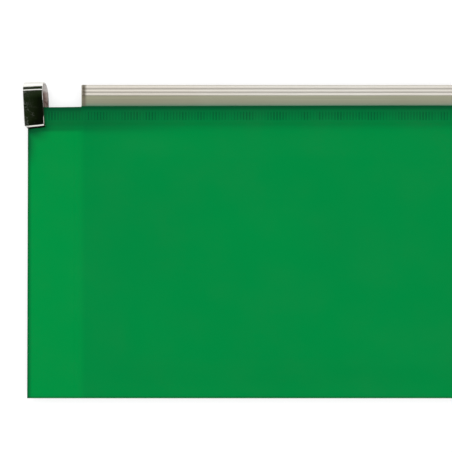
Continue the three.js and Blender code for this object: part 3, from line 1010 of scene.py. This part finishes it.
@dataclass
class Track:
    """One extruded half of the zip: lip with gripping ribs, bead, lock and flange."""

    sheet: Sheet
    plastic: Material
    lip_top: float = 129.5
    wall_in: float = 1.1
    wall_out: float = 1.7
    flange_in: float = 0.45
    flange_out: float = 0.85
    flange_bottom: float = 111.7
    slope_lag: float = 0.5
    rib_count: int = 3
    rib_pitch: float = 1.5
    rib_height: float = 0.9
    rib_standout: float = 0.25
    rib_edge: float = 0.45
    lock_level: float = 117.6
    corner: float = 0.16
    stop_length: float = 1.5
    stop_top: float = 122.0
    melt: tuple[Point, ...] = ((-1.1, 0.78), (-1.0, 0.93), (-0.75, 1.0), (0.75, 1.0), (1.0, 0.93), (1.1, 0.78))
    melt_corner: float = 0.35
    melt_sag: float = 0.15
    cut_over: float = 1.0
    cut_depth: float = 8.0

    def ribs(self) -> list[Point]:
        """Outline of the rounded gripping ribs, from the lowest up."""
        made = []
        for i in reversed(range(self.rib_count)):
            top = self.lip_top - self.rib_edge - i * self.rib_pitch
            for angle in spread(0, math.pi, 8):
                share = (1 - math.cos(angle)) / 2
                swell = math.sin(angle) ** FULL if 0 < angle < math.pi else 0.0
                made.append((top - self.rib_height * (1 - share), self.wall_out + self.rib_standout * swell))
        return made

    def lock(self, side: Side) -> list[Point]:
        """Outline of this half's part of the lock, from its top down.

        Args:
            side: The front carries the headed rib and the back the hooked groove.

        Returns:
            Heights and offsets from the wall's inner face and back to it.
        """
        level, root = self.lock_level, self.wall_in
        if side is Side.FRONT:
            across = [(0.4, root), (0.4, -0.3), (0.75, -0.3), (0.75, -0.75)]
            return [(level + y, o) for y, o in across] + [(level - y, o) for y, o in reversed(across)]
        arm = [(1.6, root), (1.6, -0.35), (0.6, -0.35), (0.6, 0.1), (1.1, 0.1), (1.1, root)]
        return [(level + y, o) for y, o in arm] + [(level - y, o) for y, o in reversed(arm)]

    def section(self, side: Side) -> list[Point]:
        """Closed outline of the extrusion.

        Args:
            side: The half of the zip.

        Returns:
            Heights and offsets.
        """
        sheet = self.sheet
        outside = rounded(
            [
                (self.flange_bottom, self.flange_in),
                (self.flange_bottom, self.flange_out),
                (sheet.tuck_top, self.flange_out),
                (sheet.bead_bottom, self.wall_out),
                (self.lip_top, self.wall_out),
                (self.lip_top, self.wall_in),
                (sheet.bead_bottom + self.slope_lag, self.wall_in),
                (sheet.tuck_top + self.slope_lag, self.flange_in),
            ],
            self.corner,
        )
        # Each corner gives five points: the ribs join on the outer wall and the lock on the inner
        return outside[:20] + self.ribs() + outside[20:30] + self.lock(side) + outside[30:]

    def grow(self) -> tuple[Tree, Socket]:
        """Sweeps the incoming outline along the zip and cuts its ends.

        Returns:
            The Geometry Nodes tree and what it grows.
        """
        sizes, ends = ("Trim Size", "Stop Size"), ("Left", "Right")
        places = [size.replace("Size", end) for size in sizes for end in ends]
        tree, outline = growing_tree("swept_track", {"Vector": ("Start", "End", *sizes, *places)})
        given = outline.node.outputs
        profile = wire(tree, "GeometryNodeMeshToCurve", {0: outline})
        run = wire(tree, "GeometryNodeCurvePrimitiveLine", {"Start": given["Start"], "End": given["End"]})
        swept = {"Curve": run, "Profile Curve": profile, "Fill Caps": True}
        swept = wire(tree, "GeometryNodeCurveToMesh", swept)
        cut = wire(tree, "GeometryNodeMeshBoolean", {0: swept}, operation="DIFFERENCE", solver="EXACT")
        for i, place in enumerate(places):
            block = wire(tree, "GeometryNodeMeshCube", {"Size": given[sizes[i // 2]]})
            block = wire(tree, "GeometryNodeTransform", {"Geometry": block, "Translation": given[place]})
            tree.links.new(block, cut.node.inputs[1])
        return tree, cut

    def build(self, side: Side) -> Object:
        """Builds one track.

        Args:
            side: The half of the zip.

        Returns:
            The dressed piece.
        """
        sheet, half = self.sheet, side.name.lower()
        mesh = bpy.data.meshes.new(f"{half}_zip_track")
        # A sweep along +X lays the outline's first axis along -Y and its second along -Z
        flat = [
            (-(y + sheet.bottom) * MM, -(sheet.middle + side.value * offset) * MM, 0.0)
            for y, offset in self.section(side)
        ]
        mesh.from_pydata(flat, [(i, (i + 1) % len(flat)) for i in range(len(flat))], [])
        over, foot = self.cut_over, sheet.bead_bottom + self.slope_lag
        trim, tall = sheet.trim_length + over, self.lip_top + over - sheet.trim_level
        stop, stop_tall = self.stop_length + over, sheet.trim_level + over - foot
        values = {
            "Start": (sheet.left * MM, 0.0, 0.0),
            "End": ((sheet.left + sheet.width) * MM, 0.0, 0.0),
            "Trim Size": (trim * MM, tall * MM, self.cut_depth * MM),
            "Stop Size": (stop * MM, stop_tall * MM, 2 * self.wall_in * MM),
            "Finish": self.plastic,
        }
        blocks = ("Trim", trim, sheet.trim_level + tall / 2), ("Stop", stop, foot + stop_tall / 2)
        for label, length, level in blocks:
            values[f"{label} Left"] = sheet.at(length / 2 - over, level, 0)
            values[f"{label} Right"] = sheet.at(sheet.width + over - length / 2, level, 0)
        piece = grown(stood(mesh.name, mesh), *self.grow(), values)
        return dress(piece, self.plastic, Body.FOLDER, Slot.TRACK, f"{half}_track")

    def build_stop(self, name: str, start: float) -> Object:
        """Melts the two tracks together at one end, with a rounded nib as the slider's stop.

        Args:
            name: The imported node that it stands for.
            start: Where it starts along the zip.

        Returns:
            The dressed piece.
        """
        sheet = self.sheet
        low, high = sheet.bead_bottom + self.slope_lag, self.stop_top
        end = start + self.stop_length
        outline = rounded([(start, low), (end, low), (end, high), (start, high)], self.melt_corner)
        middle, level = (start + end) / 2, (low + high) / 2
        rings = []
        for offset, shrink in self.melt:
            tall = 1 - (1 - shrink) * self.melt_sag
            rings.append([sheet.at(lerp(middle, x, shrink), lerp(level, y, tall), offset) for x, y in outline])
        piece = solid(f"{name}_melt", *lofted(rings))
        return dress(piece, self.plastic, Body.FOLDER, Slot.TRACK, name)


@dataclass
class Slider:
    """Bent metal slider that rides over the lips, with the tongue that parts them."""

    sheet: Sheet
    steel: Material
    width: float = 7.4
    half: float = 3.3
    plate: float = 0.8
    bottom: float = 111.602
    top: float = 130.898
    hook_tip: float = 1.6
    bridge_half: float = 1.4
    arch: float = 3.4
    tilt: float = 4.0
    bend_radius: float = 1.39
    bend_inset: float = 0.334
    bend_end: float = 33.0
    inner_bend: float = 0.35
    ridge: float = 0.9
    arch_power: float = 2.43
    lower_fold: tuple[Point, ...] = ((0.42, 0.05), (0.50, 0.014), (0.58, 0.0))
    upper_fold: tuple[Point, ...] = ((126.92, 0.0), (127.0, 0.02), (127.41, 0.21), (127.5, 0.24))
    worn_levels: tuple[float, ...] = (115.1, 116.6, 122.0, 123.6)
    worn_depths: tuple[float, ...] = (1.0, 0.5, 0.5, 1.0)
    keen_edge: tuple[Point, ...] = ((0.0, 0.05), (0.05, 0.0), (0.15, 0.0))
    broken_edge: tuple[Point, ...] = ((0.0, 0.1095), (0.02, 0.0915), (0.12, 0.0135), (0.14, 0.0), (0.19, 0.0))
    inner_break: float = 0.15
    flare: Point = (0.56, 0.40)
    narrowing: Point = (0.55, 0.33)
    corner_cut: float = 1.4
    corner_start: float = 0.93
    corner_power: float = 1.3
    crown: float = 0.1
    slant: float = 0.045
    crease: float = 36.0
    tongue: tuple[Point, ...] = ((-1.9, -0.3), (-0.9, -0.75), (0.9, -0.75), (1.9, -0.3))
    tongue_bottom: float = 120.5
    tongue_gap: float = 0.3

    def placed(self, x: float, y: float, offset: float) -> Place:
        """Places a point of the upright slider, tilted in its parked place."""
        centre, turn = (self.bottom + self.top) / 2, math.radians(self.tilt)
        across = self.width / 2 + x * math.cos(turn) - (y - centre) * math.sin(turn)
        return self.sheet.at(across, centre + x * math.sin(turn) + (y - centre) * math.cos(turn), offset)

    def outside(self) -> list[Point]:
        """Outer face of the front half, from the hook's tip round the plate to the bridge."""
        half, radius, end = self.half, self.bend_radius, math.radians(self.bend_end)
        # The lower bend: a tight turn, then a nearly flat fold line that catches the light
        centre = half - self.bend_inset - radius * math.cos(end)
        made = [(self.bottom, self.hook_tip)]
        for angle in spread(math.pi / 2, end, 6):
            made.append((self.bottom + radius * (1 - math.sin(angle)), centre + radius * math.cos(angle)))
        made += [(made[-1][0] + up, half - inset) for up, inset in self.lower_fold]
        made += [(y, half) for y in self.worn_levels]
        # The upper bend: a pressed fold line, then the arch over the lips
        made += [(y, half - inset) for y, inset in self.upper_fold]
        start, wide = self.upper_fold[-1][0] + 0.1, half - self.upper_fold[-1][1] - 0.01 - self.ridge
        for t in spread(0, 1, 14):
            made.append((lerp(start, self.top, t), self.ridge + wide * (1 - t**self.arch_power)))
        return made

    def inside(self) -> list[Point]:
        """Inner face of the front half, from the hook's tip to under the bridge."""
        low, corner, radius = self.bottom + self.plate, self.half - self.plate, self.inner_bend
        made = [(low, self.hook_tip)]
        for angle in spread(0, math.pi / 2, 4):
            made.append((low + radius * (1 - math.cos(angle)), corner - radius * (1 - math.sin(angle))))
        shoulder, tall, wide = self.top - self.arch, self.arch - self.plate, corner - self.bridge_half
        for angle in spread(0, math.pi / 2, 12):
            made.append((shoulder + tall * math.sin(angle), self.bridge_half + wide * math.cos(angle)))
        return made

    def build_shell(self) -> Object:
        """Bends the strip and breaks its side edges.

        Returns:
            The dressed piece.
        """
        outside, inside = [(*p, 0.0) for p in self.outside()], [(*p, 1.0) for p in self.inside()]
        ring = outside + [(y, -o, k) for y, o, k in reversed(outside)]
        ring += [(y, -o, k) for y, o, k in inside] + inside[::-1]
        points, skin = np.array([(y, o) for y, o, _ in ring]), [k for _, _, k in ring]
        ahead = np.roll(points, -1, axis=0) - np.roll(points, 1, axis=0)
        inward = np.stack([ahead[:, 1], -ahead[:, 0]], axis=1)
        inward /= np.maximum(np.hypot(*inward.T), 1e-9)[:, None]
        moves = inward * np.where(skin, self.inner_break, 1.0)[:, None]
        # Cut edges: broken wide on the right, where they catch the light, and sharp on the left
        half_width = self.width / 2
        stations = [(x - half_width, d) for x, d in self.keen_edge]
        stations += [(half_width * t, 0.0) for t in spread(-0.85, 0.85, 9)]
        stations += [(half_width - x, d) for x, d in reversed(self.broken_edge)]
        wear = np.interp(points[:, 0], self.worn_levels, self.worn_depths)
        whole = np.ones_like(wear)
        # The strip is cut a little askew: its left edge flares out and its front narrows downwards
        drop = (self.top - points[:, 0]) / (self.top - self.bottom)
        front = np.clip(points[:, 1] / self.half, -1, 1) / 2 + 0.5
        left = -self.flare[0] - self.flare[1] * drop
        right = self.narrowing[0] * (1 - front) * np.clip(1.75 - 2 * drop, 0, 1)
        right -= self.narrowing[1] * drop * front
        corner = np.clip((drop - self.corner_start) / (1 - self.corner_start), 0, 1)
        corner = self.corner_cut * corner**self.corner_power
        # The two bends aren't parallel: the strip was bent by hand, one end at a time
        lean = self.slant * (2 * drop - 1)
        rings = []
        for x, d in stations:
            bow = (x / half_width) ** 2
            across = x + (left + corner * bow if x < 0 else right)
            sunk = points + moves * (d * (wear if x > 0 else whole) + self.crown * bow)[:, None]
            rings.append([self.placed(a, y + x * k, o) for a, k, (y, o) in zip(across, lean, sunk)])
        piece = solid("slider_clip", *lofted(rings), crease=self.crease)
        # Painted shade under the lower bend
        painted_shade = [1 - eased((y - self.bottom - 0.3) / 0.1) for y, _, _ in ring]
        tag(piece, "inside", skin * len(stations))
        tag(piece, "painted_shade", painted_shade * len(stations))
        return dress(piece, self.steel, Body.SLIDER, Slot.STEEL, "slider_shell")

    def build_divider(self) -> Object:
        """Makes the tongue under the bridge, pointed at both ends and broken at its edges.

        Returns:
            The dressed piece.
        """
        low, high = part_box("slider_divider")
        outline = rounded([*self.tongue, *[(x, -z) for x, z in reversed(self.tongue)]], 0.15, 3)
        bottom, top = self.tongue_bottom, self.top - self.plate - self.tongue_gap
        rings = [
            [self.placed(x * shrink, y, z * shrink) for x, z in outline]
            for y, shrink in ((bottom, 0.86), (bottom + 0.12, 1.0), (top, 1.0))
        ]
        piece = solid("slider_tongue", *lofted(rings))
        for name, value in (("inside", 1.0), ("painted_shade", 0.0)):
            tag(piece, name, [value] * len(piece.data.vertices))
        LOG.info("tongue spans %.2f mm of the packed %.2f mm", top - bottom, (high.y - low.y) / MM)
        return dress(piece, self.steel, Body.SLIDER, Slot.STEEL, "slider_divider")

    def build(self) -> None:
        """Builds the shell and its tongue."""
        self.build_shell()
        self.build_divider()


def rays(tree: Tree, *kinds: str) -> Socket:
    """Gives 1 to rays of the named kinds and 0 to all others."""
    path = wire(tree, "ShaderNodeLightPath").node.outputs
    seen = path[kinds[0]]
    for kind in kinds[1:]:
        seen = wire(tree, MATH, {0: seen, 1: path[kind]}, operation="MAXIMUM")
    return seen


@dataclass
class Studio:
    """White floor, soft light and the camera straight above the folder's left half."""

    eye: Place = (-0.042534, 0.005805, 0.2579)
    lens: float = 48.93
    sensor: float = 36.0
    ambient: float = 0.90
    floor_reach: float = 4.0
    floor_tone: float = 0.45
    lift: float = 0.60
    band: float = 1.18
    wall: float = 1.5

    def build_camera(self) -> None:
        """Puts the camera where the photograph was taken from."""
        lens = bpy.data.cameras.new("camera")
        lens.lens, lens.sensor_width = self.lens, self.sensor
        lens.clip_start, lens.clip_end = 0.01, 20.0
        camera = stood("camera", lens)
        camera.location = self.eye
        bpy.context.scene.camera = camera

    def build_world(self) -> None:
        """Lights the room evenly. Mirrors see a dark ceiling, a bright band and a white wall behind."""
        world = bpy.data.worlds.new("room")
        bpy.context.scene.world = world
        world.use_nodes = True
        world.cycles.sampling_method = "NONE"
        tree = world.node_tree
        tree.nodes.clear()
        way = wire(tree, "ShaderNodeTexCoord", output="Generated")
        _, y, z = wire(tree, "ShaderNodeSeparateXYZ", {0: way}).node.outputs
        band, wall = ((level, level, level, 1.0) for level in (self.band, self.wall))
        # From the horizon up: dark low down, a bright band, then the dark ceiling
        stops = ((0.36, "#282a26"), (0.42, band), (0.63, band), (0.68, "#1c221a"), (0.88, "#2b3524"))
        stops += ((0.91, "#24301c"), (0.94, "#15200d"), (0.96, "#0d120a"), (1.0, "#0d120a"))
        mirrored = wire(tree, "ShaderNodeValToRGB", {0: z}, stops=stops)
        behind, low = (wire(tree, RANGE, zone) for zone in (span(y, 0.45, 0.62), span(z, 0.34, 0.40, 1.0, 0.0)))
        behind = wire(tree, MATH, {0: behind, 1: low}, operation="MULTIPLY")
        mirrored = wire(tree, MIX, {0: behind, 6: mirrored, 7: wall}, **COLOURS)
        plain = (self.ambient, self.ambient, self.ambient * 1.01, 1.0)
        colour = wire(tree, MIX, {0: rays(tree, "Is Glossy Ray"), 6: plain, 7: mirrored}, **COLOURS)
        seen = rays(tree, "Is Camera Ray", "Is Transmission Ray")
        colour = wire(tree, MIX, {0: seen, 6: colour, 7: WHITE}, **COLOURS)
        glow = wire(tree, "ShaderNodeBackground", {"Color": colour, "Strength": 1.0})
        wire(tree, "ShaderNodeOutputWorld", {0: glow})

    def build_floor(self) -> None:
        """Lays a white floor that keeps the folder's shadow."""
        reach = self.floor_reach
        mesh = bpy.data.meshes.new("floor")
        corners = [(-reach, -reach, 0), (reach, -reach, 0), (reach, reach, 0), (-reach, reach, 0)]
        mesh.from_pydata(corners, [], [(0, 1, 2, 3)])
        made, tree = fresh("white_board")
        seen = rays(tree, "Is Camera Ray", "Is Glossy Ray", "Is Transmission Ray")
        level = wire(tree, MATH, {0: seen, 1: self.lift}, operation="MULTIPLY")
        board = wire(tree, "ShaderNodeBsdfDiffuse", {"Color": (*[self.floor_tone] * 3, 1.0)})
        glow = wire(tree, "ShaderNodeEmission", {"Color": WHITE, "Strength": level})
        wire(tree, "ShaderNodeOutputMaterial", {0: wire(tree, "ShaderNodeAddShader", {0: board, 1: glow})})
        mesh.materials.append(made)
        stood("floor", mesh)

    def build_lamp(self, name: str, place: Place, power: float, size: float) -> None:
        """Hangs a soft square lamp that looks at the folder.

        Args:
            name: The lamp's name.
            place: Where it hangs, in metres.
            power: Its power in watts.
            size: Its side in metres.
        """
        light = bpy.data.lights.new(name, "AREA")
        light.energy, light.size = power, size
        lamp = stood(name, light)
        lamp.location = place
        lamp.rotation_euler = (-Vector(place)).to_track_quat("-Z", "Y").to_euler()
        lamp.visible_glossy = False

    def build(self) -> None:
        """Builds the room and sets how colours are shown."""
        self.build_camera()
        self.build_world()
        self.build_floor()
        self.build_lamp("key_lamp", (-0.35, 0.75, 0.75), 3.0, 0.5)
        self.build_lamp("fill_lamp", (0.6, -0.5, 0.9), 2.0, 0.7)
        bpy.context.scene.view_settings.view_transform = "Standard"


def main() -> None:
    """Builds the folder, its room and its camera."""
    logging.basicConfig(level=logging.INFO, format="%(name)s: %(message)s")
    Studio().build()
    sheet = Sheet()
    film, weld = FilmFinish().make(sheet), WeldFinish().make(sheet)
    plastic, steel = TrackFinish().make(sheet), PlatedSteelFinish().make(sheet)
    FilmPocket(sheet, film, weld).build()
    comb = RibbedWeld(sheet, weld)
    track = Track(sheet, plastic)
    for side in Side:
        comb.build(side)
        track.build(side)
    track.build_stop("left_end_stop", 0.0)
    track.build_stop("right_end_stop", sheet.width - track.stop_length)
    Slider(sheet, steel).build()


if __name__ == "__main__":
    main()
